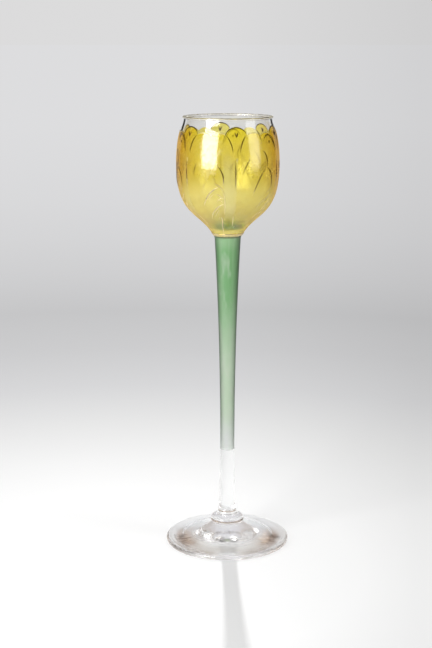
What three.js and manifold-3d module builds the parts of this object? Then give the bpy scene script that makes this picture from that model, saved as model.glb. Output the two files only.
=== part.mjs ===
// A stemmed liqueur glass shaped as a flower: clear bowl with enamelled petals, green stem, clear foot.
//
// Lengths are millimetres and angles are degrees. Z is up and the axis of the glass is the Z axis.
// A profile is a list of points (radius, height) that is turned about that axis.
// Bearings round the bowl are counted from the front, which faces -Y, towards +X.

import * as THREE from 'three';
import { mergeVertices } from 'three/addons/utils/BufferGeometryUtils.js';
import Module from 'manifold-3d';

const wasm = await Module();
wasm.setup();

// Foot: a low dome that rests on a flat ring near its edge
const FOOT_RADIUS = 28.2;
const FOOT_EDGE = 2.2;
const FOOT_EDGE_FROM = -60;
const FOOT_EDGE_TO = 90;
const FOOT_HEIGHT = 8.8;
const FOOT_HOLLOW = 1.7;
const HOLLOW_FLAT_SHARE = 0.82;
const REST_RADIUS = 26.6;
const REST_WIDTH = 6.0;
const DOME_EDGE_SLOPE = 8;
const DOME_EDGE_PULL = 8.0;
const DOME_SEAT_SLOPE = 38;
const DOME_SEAT_PULL = 6.0;

// Merese: the small button of glass between foot and stem
const MERESE_RADIUS = 7.6;
const MERESE_HEIGHT = 3.6;
const MERESE_BULGE_HEIGHT = 1.6;
const MERESE_SEAT_RADIUS = 6.4;

// Stem: drawn glass, thinnest just above its clear part, widest where it carries the bowl
const STEM_LENGTH = 130.8;
const STEM_FOOT_RADIUS = 4.9;
const STEM_BELL_HEIGHT = 5.0;
const STEM_CLEAR_RADIUS = 3.65;
const STEM_WAIST_RADIUS = 3.05;
const STEM_SHOULDER_RADIUS = 5.6;
const STEM_FLARE_HEIGHT = 2.4;
const STEM_CURVE = 2.1;
const JOINT_RADIUS = 6.6;

// Green enamel on the upper stem
const GREEN_START = 31.3;
const GREEN_THICKNESS = 0.2;

// Bowl: blown glass with a bead round its lip
const BOWL_HEIGHT = 51.8;
const BOWL_RADIUS = 22.6;
const BOWL_BELLY_HEIGHT = 30.5;
const BOWL_WALL = 1.0;
const BOWL_FLOOR_HEIGHT = 3.6;
const BOWL_START_SLOPE = 58;
const BOWL_START_PULL = 12.0;
const BELLY_PULL_DOWN = 22.0;
const BELLY_PULL_UP = 14.0;
const LIP_RADIUS = 19.9;
const LIP_BEAD_RADIUS = 0.5;
const LIP_BEAD_FROM = -50;
const LIP_BEAD_TO = 230;
const NECK_RADIUS = 19.35;
const NECK_PULL = 4.0;
const NECK_LEAN = 8;

// Gilding
const GILDING = 0.12;
const JOINT_RING_HEIGHT = 1.4;
const JOINT_RING_THICKNESS = 0.3;
const JOINT_RING_BULGE = 0.06;

// Petals of yellow enamel, in two rows with a gap between them for the gold contour line
const PETALS_PER_ROW = 6;
const FRONT_PETAL_BEARING = 9.6;
const ENAMEL_THICKNESS = 0.2;
const ENAMEL_CLEARANCE = 0.05;
const PETAL_GAP = 0.45;
const CLEAR_BAND_HEIGHT = 4.0;
const OUTER_PETAL_DROP = 2.4;
const PETAL_LOBE_HEIGHT = 0.9;
const PETAL_V_DEPTH = 12.5;
const PETAL_TIP_HALF_ANGLE = 12.5;
const PETAL_TIP_CURVE = 1.6;
const INNER_PETAL_POINT_WIDTH = 1.0;
const OUTER_PETAL_NOTCH_WIDTH = 0.9;

// Facets
const ROUND_SEGMENTS = 36;
const OUTLINE_STEPS = 6;
const WEDGE_STEPS = 8;
const V_STEPS = 4;

const MERESE_LEVEL = FOOT_HEIGHT;
const STEM_LEVEL = MERESE_LEVEL + MERESE_HEIGHT;
const BOWL_LEVEL = STEM_LEVEL + STEM_LENGTH;
const PETAL_PITCH = 360 / PETALS_PER_ROW;
const RING_HALF_HEIGHT = JOINT_RING_HEIGHT / 2;

// Heights above the joint, counted down from the lip
const INNER_PETAL_TOP = BOWL_HEIGHT - CLEAR_BAND_HEIGHT;
const OUTER_PETAL_TOP = INNER_PETAL_TOP - OUTER_PETAL_DROP;
const PETAL_SHOULDER = OUTER_PETAL_TOP - PETAL_LOBE_HEIGHT;
const PETAL_MEETING = PETAL_SHOULDER - PETAL_V_DEPTH;

const clearGlass = new THREE.MeshStandardMaterial({
  color: 0xe8eeee, roughness: 0.03, metalness: 0, transparent: true, opacity: 0.35,
});
const greenEnamel = new THREE.MeshStandardMaterial({ color: 0x7fb37c, roughness: 0.4, metalness: 0 });
const yellowEnamel = new THREE.MeshStandardMaterial({ color: 0xe0c22c, roughness: 0.25, metalness: 0 });
const gold = new THREE.MeshStandardMaterial({ color: 0xc79a45, roughness: 0.25, metalness: 1 });

function point(radius, height) {
  return new THREE.Vector2(radius, height);
}

function radians(degrees) {
  return THREE.MathUtils.degToRad(degrees);
}

// Turns a profile into a closed solid with Z as its axis.
function turned(profile, segments) {
  const geometry = new THREE.LatheGeometry(profile, segments);
  geometry.rotateX(Math.PI / 2);
  return geometry;
}

function piece(name, geometry, material) {
  const mesh = new THREE.Mesh(geometry, material);
  mesh.name = name;
  return mesh;
}

// A point moved off by a distance, at an angle up from straight outwards.
function pulled(spot, distance, degrees) {
  const angle = radians(degrees);
  return point(spot.x + distance * Math.cos(angle), spot.y + distance * Math.sin(angle));
}

// Points on a circular arc in the profile plane, both ends included.
function arc(centre, radius, fromDegrees, toDegrees, steps) {
  const points = [];
  for (let i = 0; i <= steps; i += 1) {
    points.push(pulled(centre, radius, fromDegrees + (toDegrees - fromDegrees) * (i / steps)));
  }
  return points;
}

// Where a rising curve reaches a height.
function pointAtHeight(curve, height) {
  let low = 0;
  let high = 1;
  for (let i = 0; i < 40; i += 1) {
    const middle = (low + high) / 2;
    if (curve.getPoint(middle).y < height) {
      low = middle;
    } else {
      high = middle;
    }
  }
  return curve.getPoint((low + high) / 2);
}

// Foot

function footProfile() {
  const edgeCentre = point(FOOT_RADIUS - FOOT_EDGE / 2, FOOT_EDGE / 2);
  const edgeTop = point(edgeCentre.x, FOOT_EDGE);
  const seat = point(MERESE_SEAT_RADIUS, FOOT_HEIGHT);
  const restInner = REST_RADIUS - REST_WIDTH;
  const hollow = new THREE.QuadraticBezierCurve(
    point(0, FOOT_HOLLOW),
    point(restInner * HOLLOW_FLAT_SHARE, FOOT_HOLLOW),
    point(restInner, 0),
  );
  const dome = new THREE.CubicBezierCurve(
    edgeTop,
    pulled(edgeTop, DOME_EDGE_PULL, 180 - DOME_EDGE_SLOPE),
    pulled(seat, DOME_SEAT_PULL, -DOME_SEAT_SLOPE),
    seat,
  );
  return [
    ...hollow.getPoints(OUTLINE_STEPS),
    point(REST_RADIUS, 0),
    ...arc(edgeCentre, FOOT_EDGE / 2, FOOT_EDGE_FROM, FOOT_EDGE_TO, OUTLINE_STEPS),
    ...dome.getPoints(OUTLINE_STEPS).slice(1),
    point(0, FOOT_HEIGHT),
  ];
}

// Merese: a quarter round out from the seat, then another back in to the stem

function mereseProfile() {
  const profile = [point(0, 0)];
  for (let i = 0; i < OUTLINE_STEPS; i += 1) {
    const turn = radians(90 * (i / OUTLINE_STEPS));
    profile.push(point(
      MERESE_SEAT_RADIUS + (MERESE_RADIUS - MERESE_SEAT_RADIUS) * Math.sin(turn),
      MERESE_BULGE_HEIGHT * (1 - Math.cos(turn)),
    ));
  }
  for (let i = 0; i <= OUTLINE_STEPS; i += 1) {
    const turn = radians(90 * (i / OUTLINE_STEPS));
    profile.push(point(
      STEM_FOOT_RADIUS + (MERESE_RADIUS - STEM_FOOT_RADIUS) * Math.cos(turn),
      MERESE_BULGE_HEIGHT + (MERESE_HEIGHT - MERESE_BULGE_HEIGHT) * Math.sin(turn),
    ));
  }
  return [...profile, point(0, MERESE_HEIGHT)];
}

// Stem

const STEM_FLARE_START = STEM_LENGTH - STEM_FLARE_HEIGHT;
const GREEN_END = STEM_LENGTH - RING_HALF_HEIGHT;

// Outside radius of the glass at a height above the merese.
function stemRadius(height) {
  if (height < STEM_BELL_HEIGHT) {
    const fall = 1 - height / STEM_BELL_HEIGHT;
    return STEM_CLEAR_RADIUS + (STEM_FOOT_RADIUS - STEM_CLEAR_RADIUS) * fall ** 2;
  }
  if (height < GREEN_START) {
    const along = (height - STEM_BELL_HEIGHT) / (GREEN_START - STEM_BELL_HEIGHT);
    return STEM_CLEAR_RADIUS + (STEM_WAIST_RADIUS - STEM_CLEAR_RADIUS) * along;
  }
  const swell = (Math.min(height, STEM_FLARE_START) - GREEN_START) / (STEM_FLARE_START - GREEN_START);
  const body = STEM_WAIST_RADIUS + (STEM_SHOULDER_RADIUS - STEM_WAIST_RADIUS) * swell ** STEM_CURVE;
  const flare = Math.max(0, height - STEM_FLARE_START) / STEM_FLARE_HEIGHT;
  return body + (JOINT_RADIUS - STEM_SHOULDER_RADIUS) * flare ** 2;
}

// Heights at which the green part of the stem has a ring of facets.
function greenHeights() {
  const heights = [];
  for (let i = 0; i <= OUTLINE_STEPS; i += 1) {
    heights.push(GREEN_START + (STEM_FLARE_START - GREEN_START) * (i / OUTLINE_STEPS));
  }
  heights.push((STEM_FLARE_START + GREEN_END) / 2, GREEN_END);
  return heights;
}

function stemProfile() {
  const bell = [0, 0.25, 0.5, 0.75, 1].map((share) => share * STEM_BELL_HEIGHT);
  const heights = [...bell, ...greenHeights(), STEM_LENGTH];
  return [
    point(0, 0),
    ...heights.map((height) => point(stemRadius(height), height)),
    point(0, STEM_LENGTH),
  ];
}

// The sleeve's inside is the outside of the stem, point for point.
function greenProfile() {
  const inside = greenHeights().map((height) => point(stemRadius(height), height));
  const outside = inside.map((spot) => point(spot.x + GREEN_THICKNESS, spot.y));
  return [...outside, ...inside.reverse(), outside[0].clone()];
}

// Bowl

const BEAD_CENTRE = point(
  LIP_RADIUS - GILDING - LIP_BEAD_RADIUS,
  BOWL_HEIGHT - GILDING - LIP_BEAD_RADIUS,
);
const NECK_HEIGHT = BEAD_CENTRE.y - LIP_BEAD_RADIUS;

// The bowl swells from the joint to the belly, then closes in to the neck.
function bowlCurves(inset) {
  const joint = point(JOINT_RADIUS, 0);
  const belly = point(BOWL_RADIUS - inset, BOWL_BELLY_HEIGHT);
  const neck = point(NECK_RADIUS - inset, NECK_HEIGHT);
  const swell = new THREE.CubicBezierCurve(
    joint,
    pulled(joint, BOWL_START_PULL, BOWL_START_SLOPE),
    pulled(belly, BELLY_PULL_DOWN, -90),
    belly,
  );
  const close = new THREE.CubicBezierCurve(
    belly,
    pulled(belly, BELLY_PULL_UP, 90),
    pulled(neck, NECK_PULL, NECK_LEAN - 90),
    neck,
  );
  return { swell, close };
}

function bowlRadius(height) {
  const { swell, close } = bowlCurves(0);
  return pointAtHeight(height < BOWL_BELLY_HEIGHT ? swell : close, height).x;
}

// From the top edge of the gilt ring to the neck.
function bowlOutside() {
  const { swell, close } = bowlCurves(0);
  return [
    pointAtHeight(swell, RING_HALF_HEIGHT),
    ...swell.getPoints(OUTLINE_STEPS + 2).slice(1),
    ...close.getPoints(OUTLINE_STEPS - 2).slice(1),
  ];
}

function lipBead(radius) {
  return arc(BEAD_CENTRE, radius, LIP_BEAD_FROM, LIP_BEAD_TO, OUTLINE_STEPS);
}

// From the neck down to the middle of the floor, one wall inside the outside.
function bowlInside() {
  const { swell, close } = bowlCurves(BOWL_WALL);
  const floorEdge = point(JOINT_RADIUS + BOWL_WALL, BOWL_FLOOR_HEIGHT);
  const cup = new THREE.CubicBezierCurve(
    swell.v3,
    pulled(swell.v2, BOWL_WALL, 90),
    pulled(floorEdge, BOWL_WALL, 0),
    point(0, BOWL_FLOOR_HEIGHT),
  );
  return [
    ...close.getPoints(OUTLINE_STEPS - 2).reverse().slice(0, -1),
    ...cup.getPoints(OUTLINE_STEPS + 2),
  ];
}

function bowlProfile() {
  return [
    point(0, 0),
    point(JOINT_RADIUS, 0),
    ...bowlOutside(),
    ...lipBead(LIP_BEAD_RADIUS),
    ...bowlInside(),
  ];
}

// Gilding

// A thin cap over the bead, on the bead's own points.
function lipGildingProfile() {
  const under = lipBead(LIP_BEAD_RADIUS).slice(1, -1);
  const over = lipBead(LIP_BEAD_RADIUS + GILDING).slice(1, -1);
  return [...over, ...under.reverse(), over[0].clone()];
}

// A rounded band over the joint, in the bowl's own heights.
function jointRingProfile() {
  const low = point(stemRadius(GREEN_END), -RING_HALF_HEIGHT);
  const middle = point(JOINT_RADIUS, 0);
  const high = bowlOutside()[0];
  const edge = GREEN_THICKNESS;
  const outside = [
    point(low.x + edge, low.y),
    point(middle.x + JOINT_RING_THICKNESS, -RING_HALF_HEIGHT / 2),
    point(middle.x + JOINT_RING_THICKNESS + JOINT_RING_BULGE, 0),
    point(high.x + JOINT_RING_THICKNESS, RING_HALF_HEIGHT / 2),
    point(high.x + edge, high.y),
  ];
  return [...outside, high, middle, low, outside[0].clone()];
}

// Petals

function toManifold(geometry) {
  const bare = geometry.clone();
  bare.deleteAttribute('normal');
  bare.deleteAttribute('uv');
  const merged = mergeVertices(bare);
  return new wasm.Manifold(new wasm.Mesh({
    numProp: 3,
    vertProperties: new Float32Array(merged.attributes.position.array),
    triVerts: new Uint32Array(merged.index.array),
  }));
}

function toGeometry(solid) {
  const mesh = solid.getMesh();
  const geometry = new THREE.BufferGeometry();
  geometry.setAttribute('position', new THREE.BufferAttribute(mesh.vertProperties, 3));
  geometry.setIndex(new THREE.BufferAttribute(mesh.triVerts, 1));
  geometry.computeVertexNormals();
  return geometry;
}

// A layer of enamel that follows the outside of the bowl, from the gilt ring to the neck.
function enamelSkin() {
  const inside = bowlOutside().map((spot) => point(spot.x + ENAMEL_CLEARANCE, spot.y));
  const outside = inside.map((spot) => point(spot.x + ENAMEL_THICKNESS, spot.y));
  return toManifold(turned([...outside, ...inside.reverse(), outside[0].clone()], ROUND_SEGMENTS));
}

// Bends a flat outline of (bearing, height) points into a wedge that cuts straight out from the axis.
function wedge(outline, bearing) {
  const nearAxis = JOINT_RADIUS / 2;
  const farOut = BOWL_RADIUS + JOINT_RADIUS;
  const geometry = new THREE.ExtrudeGeometry(new THREE.Shape(outline), {
    depth: farOut - nearAxis, bevelEnabled: false, steps: WEDGE_STEPS,
  });
  const position = geometry.attributes.position;
  for (let i = 0; i < position.count; i += 1) {
    const angle = radians(bearing + position.getX(i));
    const radius = nearAxis + position.getZ(i);
    position.setXYZ(i, radius * Math.sin(angle), -radius * Math.cos(angle), position.getY(i));
  }
  return toManifold(geometry);
}

// Half the angle between two outer petals at a height: nothing below the meeting point, a V above it.
function openingAngle(height) {
  const rise = (height - PETAL_MEETING) / PETAL_V_DEPTH;
  return PETAL_TIP_HALF_ANGLE * Math.max(0, rise) ** PETAL_TIP_CURVE;
}

// A length round the bowl as an angle, at a height.
function lengthAsAngle(length, height) {
  return THREE.MathUtils.radToDeg(length / bowlRadius(height));
}

function mirrored(rightSide) {
  const leftSide = rightSide.map((spot) => point(-spot.x, spot.y)).reverse();
  return [...rightSide, ...leftSide];
}

// The outline of one outer petal: upright sides, a V cut at each shoulder and two low lobes on top.
function outerPetalOutline() {
  const base = RING_HALF_HEIGHT + ENAMEL_CLEARANCE;
  const heights = [base];
  for (let i = 1; i <= OUTLINE_STEPS; i += 1) {
    heights.push(base + (PETAL_MEETING - base) * (i / OUTLINE_STEPS));
  }
  for (let i = 1; i <= V_STEPS; i += 1) {
    heights.push(PETAL_MEETING + PETAL_V_DEPTH * (i / V_STEPS));
  }
  const side = heights.map((height) => point(
    PETAL_PITCH / 2 - openingAngle(height) - lengthAsAngle(PETAL_GAP / 2, height),
    height,
  ));
  const corner = side[side.length - 1];
  const notch = lengthAsAngle(OUTER_PETAL_NOTCH_WIDTH / 2, PETAL_SHOULDER);
  const top = [];
  for (let i = 1; i < OUTLINE_STEPS; i += 1) {
    const share = i / OUTLINE_STEPS;
    const bearing = corner.x + (notch - corner.x) * share;
    top.push(point(bearing, corner.y + PETAL_LOBE_HEIGHT * Math.sqrt(Math.sin(Math.PI * share))));
  }
  return mirrored([...side, ...top, point(notch, corner.y + PETAL_LOBE_HEIGHT / 3)]);
}

// The outline of one inner petal: the wedge between two outer petals, and the rounded tip above it.
function innerPetalOutline() {
  const pointAngle = lengthAsAngle((INNER_PETAL_POINT_WIDTH + PETAL_GAP) / 2, BOWL_BELLY_HEIGHT);
  const rise = (pointAngle / PETAL_TIP_HALF_ANGLE) ** (1 / PETAL_TIP_CURVE);
  const lowest = PETAL_MEETING + PETAL_V_DEPTH * rise;
  const side = [];
  for (let i = 0; i <= V_STEPS; i += 1) {
    const height = lowest + (PETAL_SHOULDER - lowest) * (i / V_STEPS);
    side.push(point(openingAngle(height) - lengthAsAngle(PETAL_GAP / 2, height), height));
  }
  const corner = side[side.length - 1];
  const tip = [];
  for (let i = 1; i < OUTLINE_STEPS; i += 1) {
    const turn = radians(90 * (i / OUTLINE_STEPS));
    tip.push(point(
      corner.x * Math.cos(turn),
      corner.y + (INNER_PETAL_TOP - corner.y) * Math.sin(turn),
    ));
  }
  return mirrored([...side, ...tip]);
}

function petals() {
  const skin = enamelSkin();
  const outline = { outer: outerPetalOutline(), inner: innerPetalOutline() };
  const meshes = [];
  for (let i = 0; i < PETALS_PER_ROW; i += 1) {
    const bearing = FRONT_PETAL_BEARING + PETAL_PITCH * i;
    const inner = skin.intersect(wedge(outline.inner, bearing));
    const outer = skin.intersect(wedge(outline.outer, bearing + PETAL_PITCH / 2));
    meshes.push(piece(`inner_petal_${i + 1}`, toGeometry(inner), yellowEnamel));
    meshes.push(piece(`outer_petal_${i + 1}`, toGeometry(outer), yellowEnamel));
  }
  return meshes;
}

// Assembly

const foot = piece('foot', turned(footProfile(), ROUND_SEGMENTS), clearGlass);

const merese = piece('merese', turned(mereseProfile(), ROUND_SEGMENTS), clearGlass);
merese.position.z = MERESE_LEVEL;

const stemGroup = new THREE.Group();
stemGroup.position.z = STEM_LEVEL;
stemGroup.add(piece('stem', turned(stemProfile(), ROUND_SEGMENTS), clearGlass));
stemGroup.add(piece('stem_green_enamel', turned(greenProfile(), ROUND_SEGMENTS), greenEnamel));

const bowlGroup = new THREE.Group();
bowlGroup.position.z = BOWL_LEVEL;
bowlGroup.add(piece('bowl', turned(bowlProfile(), ROUND_SEGMENTS), clearGlass));
bowlGroup.add(piece('lip_gilding', turned(lipGildingProfile(), ROUND_SEGMENTS), gold));
bowlGroup.add(piece('joint_gilding', turned(jointRingProfile(), ROUND_SEGMENTS), gold));
bowlGroup.add(...petals());

const glass = new THREE.Group();
glass.name = 'liqueur_glass';
glass.add(foot, merese, stemGroup, bowlGroup);

export default glass;
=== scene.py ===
import math

import bmesh
import bpy
import numpy as np
from bpy.props import FloatProperty, FloatVectorProperty, PointerProperty
from mathutils import Matrix, Vector
from mathutils.geometry import interpolate_bezier


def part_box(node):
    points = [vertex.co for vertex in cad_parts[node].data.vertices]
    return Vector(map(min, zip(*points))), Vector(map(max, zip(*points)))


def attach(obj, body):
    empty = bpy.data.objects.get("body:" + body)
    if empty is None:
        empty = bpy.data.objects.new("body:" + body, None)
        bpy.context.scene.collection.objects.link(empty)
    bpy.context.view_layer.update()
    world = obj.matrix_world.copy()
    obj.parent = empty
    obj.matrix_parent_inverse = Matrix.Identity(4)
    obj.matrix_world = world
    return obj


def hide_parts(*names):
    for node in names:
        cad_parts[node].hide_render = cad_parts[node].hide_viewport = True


bl_info = {
    "name": "Liqueur glass",
    "version": (1, 0, 0),
    "blender": (4, 5, 0),
    "location": "3D View > Sidebar > Glass",
    "description": "Builds a stemmed liqueur glass with enamelled petals, one piece at a time",
    "category": "Object",
}

# Lengths are metres and angles are radians. Z is up and the axis of the glass is the Z axis.
# A profile is a list of points (radius, height) that is turned about that axis.
# Bearings round the bowl are counted from the front, which faces -Y, towards +X.

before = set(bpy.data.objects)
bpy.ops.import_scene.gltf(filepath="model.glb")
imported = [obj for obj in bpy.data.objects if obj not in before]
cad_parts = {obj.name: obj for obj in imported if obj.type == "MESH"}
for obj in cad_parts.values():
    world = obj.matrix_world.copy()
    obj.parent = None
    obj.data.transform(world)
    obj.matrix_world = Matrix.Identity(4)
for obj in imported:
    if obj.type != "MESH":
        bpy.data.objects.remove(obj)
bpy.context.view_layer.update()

MM = 0.001
MERESE_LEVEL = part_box("merese")[0].z
STEM_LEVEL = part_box("stem")[0].z
BOWL_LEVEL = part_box("bowl")[0].z
GLASS_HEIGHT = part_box("lip_gilding")[1].z
RING_HALF_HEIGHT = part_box("joint_gilding")[1].z - BOWL_LEVEL
BARE_LEVEL = BOWL_LEVEL + 42 * MM
PETALS_PER_ROW = 6
PETAL_PITCH = math.tau / PETALS_PER_ROW
CORNER_PULL = 2 / 3
STEM_CURVE = 2.1
RING_FULLNESS = 1.3
GILDING_CLEARANCE = 0.00002
EDGE_ARC = (math.radians(-60), math.radians(90))
BEAD_ARC = (math.radians(-50), math.radians(230))

TURN_STEPS = 160
CURVE_STEPS = 28
ARC_STEPS = 16
BELL_STEPS = 12
STEM_STEPS = 40
FLARE_STEPS = 8
STROKE_STEPS = 18
INNER_PETAL_GRID = (32, 48)
OUTER_PETAL_GRID = (72, 96)
DOUBLES = 1e-7
SHARP_ANGLE = math.radians(40)
FILM_OUTSIDE = 0.3

# Contour lines of the petals. Each is its width as a share of the full width, then a cubic curve of
# (bearing in degrees, height in millimetres) from a petal's middle and from the joint.

STROKE_END_WIDTH = 0.35
TIP_LINES = (
    (1.0, (-12.2, 45.1), (-9.8, 48.7), (9.2, 48.9), (12.0, 44.9)),
    (1.0, (11.0, 44.5), (7.2, 43.1), (4.6, 40.5), (3.5, 37.4)),
    (0.9, (-11.8, 44.6), (-7.8, 43.0), (-5.2, 40.5), (-4.3, 37.5)),
    (1.1, (-1.9, 45.9), (-1.5, 45.3), (-0.8, 44.6), (-0.1, 43.8)),
    (1.1, (1.6, 45.9), (1.2, 45.3), (0.5, 44.6), (-0.1, 43.8)),
    (1.0, (-1.8, 33.6), (-1.4, 30.0), (-1.2, 26.0), (-1.4, 21.8)),
    (0.6, (-2.2, 12.0), (-1.8, 9.0), (0.0, 6.0), (1.6, 2.9)),
)
LOBE_LINES = (
    (0.7, (-17.3, 44.5), (-14.0, 45.9), (-5.0, 46.1), (-0.9, 44.5)),
    (0.7, (17.3, 44.5), (14.0, 45.9), (5.0, 46.1), (0.9, 44.5)),
)
LEFT_LEAF_LINES = (
    (1.0, (8.3, 31.8), (14.2, 30.2), (17.4, 26.0), (13.8, 23.0)),
    (0.7, (13.8, 23.0), (16.6, 19.0), (18.4, 13.0), (13.6, 8.6)),
    (1.3, (9.4, 22.9), (3.5, 22.2), (-4.5, 19.2), (-11.5, 14.2)),
    (1.2, (15.2, 15.6), (9.0, 14.8), (0.5, 12.4), (-7.4, 8.2)),
    (0.8, (3.4, 24.6), (8.0, 24.4), (12.6, 22.8), (16.0, 20.6)),
    (0.8, (4.6, 20.2), (8.6, 19.9), (12.4, 18.9), (15.8, 17.3)),
    (0.7, (6.6, 18.0), (9.8, 17.8), (12.6, 17.0), (15.4, 15.8)),
    (0.7, (14.8, 18.6), (11.4, 18.4), (8.0, 17.2), (5.2, 15.4)),
    (1.2, (9.8, 9.6), (12.6, 7.6), (7.4, 6.2), (7.2, 1.9)),
    (0.8, (-16.5, 32.6), (-18.2, 31.2), (-19.8, 29.6), (-20.4, 27.4)),
    (0.5, (2.0, 28.0), (4.5, 27.0), (6.5, 25.5), (7.2, 23.8)),
    (0.6, (7.0, 20.4), (2.6, 20.0), (-1.6, 18.4), (-5.4, 16.0)),
    (0.6, (11.6, 13.6), (7.0, 12.6), (2.4, 10.6), (-1.2, 8.0)),
    (0.5, (10.4, 10.6), (7.6, 9.8), (5.0, 8.4), (2.8, 6.6)),
    (0.5, (-2.6, 26.2), (-6.0, 24.6), (-9.4, 22.0), (-11.8, 19.0)),
)
RIGHT_LEAF_LINES = (
    (1.0, (2.0, 38.0), (7.2, 36.8), (9.6, 33.6), (7.2, 30.7)),
    (1.0, (7.2, 30.7), (14.4, 30.0), (18.4, 26.4), (17.0, 21.4)),
    (1.0, (5.4, 30.4), (-0.6, 28.4), (-6.6, 23.8), (-11.4, 18.2)),
    (0.7, (5.6, 33.4), (2.4, 32.6), (-1.0, 31.2), (-4.4, 29.4)),
    (0.6, (6.2, 32.0), (3.2, 31.4), (0.2, 30.2), (-2.8, 28.6)),
    (0.9, (-15.0, 34.9), (-17.2, 33.6), (-21.4, 31.0), (-23.4, 28.4)),
    (0.6, (7.4, 25.2), (9.2, 26.9), (11.6, 26.2), (9.4, 24.0)),
    (1.0, (4.4, 42.0), (8.4, 45.7), (19.0, 45.9), (23.6, 38.8)),
    (0.8, (12.4, 42.0), (13.0, 41.8), (13.4, 41.4), (13.7, 40.7)),
    (0.8, (15.0, 42.0), (14.4, 41.8), (14.0, 41.4), (13.7, 40.7)),
    (0.7, (12.6, 17.6), (7.6, 17.2), (2.0, 15.4), (-1.6, 11.8)),
    (0.6, (14.6, 11.8), (10.2, 11.0), (6.0, 9.6), (3.2, 7.2)),
    (0.7, (21.0, 19.6), (16.4, 19.2), (11.0, 17.0), (6.4, 13.8)),
    (0.7, (22.0, 16.6), (17.6, 15.8), (12.6, 13.6), (8.6, 10.6)),
    (0.6, (21.6, 14.0), (17.4, 12.8), (13.2, 10.6), (10.0, 8.0)),
    (0.6, (19.4, 22.2), (15.6, 21.8), (11.4, 20.4), (7.8, 18.4)),
)

# Shades of the foot's painted shadow, which tint the light that passes the foot, and the fades that bound
# each and the foot's painted streaks. A fade is a measure, where it starts and where it stops in metres, and
# its share at both where that isn't 0 and 1.

FOOT_SHADE = (0.96, 0.96, 0.965)
FOOT_COOL_SHADE = (0.87, 0.89, 0.905)
FOOT_COOL_FADES = (
    ("radius", 0.010, 0.014),
    ("radius", 0.0235, 0.0205),
    ("sideways", 0.005, 0.010),
    ("back", 0.000, 0.007, 0.0, 0.9),
)
FOOT_MOTTLE_SHADE = (0.68, 0.66, 0.60)
FOOT_MOTTLE_FADES = (
    ("radius", 0.0110, 0.0150),
    ("radius", 0.0235, 0.0200),
    ("back", 0.001, -0.005),
)
FOOT_BAND_SHADE = (0.52, 0.44, 0.38)
FOOT_BAND_FADES = (
    ("radius", 0.0205, 0.0225),
    ("radius", 0.0272, 0.0258),
    ("back", -0.004, -0.012),
    ("sideways", 0.002, 0.009),
)
FOOT_PATCH_SHADE = (0.66, 0.55, 0.48)
FOOT_PATCH_FADES = (
    ("radius", 0.0150, 0.0180),
    ("radius", 0.0248, 0.0215),
    ("sideways", 0.009, 0.016),
    ("back", 0.010, 0.002),
    ("back", -0.015, -0.009, 0.2, 1.0),
)
# The painted streaks: a reflection painted on the foot where it is seen across the dome.
FOOT_PAINTED_STREAK_FADES = (
    ("radius", 0.0160, 0.0190),
    ("radius", 0.0262, 0.0236),
    ("sideways", 0.009, 0.015),
    ("back", 0.000, -0.006),
    ("back", -0.019, -0.013),
)

# Finishes. A mottle is a colour, the scale of its noise, where it starts and its most. A mirror is the
# share that is mirrored head on and edge on.

WHITE = (1.0, 1.0, 1.0)
BLACK = (0.0, 0.0, 0.0)
LEVEL = (1, 1, 0)
RING_WANDER = (0.0009, 0.0009, 0)
# The green joint is a painted refraction: the stem's green as seen through the bowl's bottom.
JOINT_PAINTED_STEM_GREEN = (0.42, 0.66, 0.42)
JOINT_MOTTLE = ((0.96, 0.98, 0.97), 600, 0.6, 0.1)
FILM_MOTTLE = ((0.98, 0.97, 0.94), 900, 0.5, 0.5)
STEM_SHADOW = 0.3
BOWL_SHADOW = 0.95
MIRROR_POWER = 5.0
MILK_GLOW = 0.4
HAZE_SHARE = 0.5
YELLOW_STREAKS = (0.97, 0.86, 0.14)
YELLOW_SPECKS = (0.80, 0.56, 0.02)
YELLOW_MIRROR = (0.096, 0.24)
GREEN_BLOTCHES = (0.80, 0.88, 0.74)
GREEN_STREAKS = (0.70, 0.86, 0.62)
GREEN_UNDER_RING = (0.55, 0.80, 0.48)
GREEN_AGAINST_RING = (0.16, 0.20, 0.06)
GREEN_EDGE_DEPTH_AND_SHADE = (0.07, 0.12, 0.07)
GREEN_MIRROR = (0.05, 0.6)
PALE_GOLD = (0.98, 0.88, 0.62)
# Painted reflection: the pale gold of contour lines low on the bowl, where they would mirror the bright
# floor.
LINE_GOLD_PAINTED_LOW_REFLECTION = (0.96, 0.84, 0.52)
BARE_GLASS = (0.99, 0.985, 0.96)
BARE_SPREAD = 0.25

# Stage. The floor has a painted pool of light: a floor shade is a distance from the middle of that pool, in
# metres, and the grey painted there.
# LIT_FLOOR and BACKDROP_START are such distances too. BACKDROP_SIDE holds tangents of the angle off
# straight ahead, BACKDROP_TOP and ROOM_TOP sines of the angle up, and WALL_START and PICTURE_SIDE sines
# of the angle sideways.

IMAGE_HEIGHT = 648
SENSOR_HEIGHT = 36.0
PICTURE_SIDE = 0.148
FLOOR_RADIUS = 40.0
FLOOR_SEGMENTS = 64
FLOOR_DROP = 0.00002
FLOOR_SHADES = (
    (0.10, 0.98), (0.15, 0.91), (0.22, 0.805), (0.31, 0.685), (0.42, 0.61), (0.56, 0.565),
    (0.74, 0.623), (0.99, 0.665), (1.35, 0.694), (1.95, 0.710), (3.0, 0.723),
)
SHADE_SOFTNESS = 0.6
COOL_BELOW = 0.8
COOL_BLUE = 1.015
POOL_CENTRE = (-0.04, -0.03, 0)
LIT_FLOOR = (0.18, 0.75)
BACKDROP_START = (0.3, 0.8)
BACKDROP_SIDE = (0.84, 1.3)
BACKDROP_TOP = (0.12, 0.30)
ROOM_TOP = (0.35, 0.20)
WALL_START = (0.15, 0.5)

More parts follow.
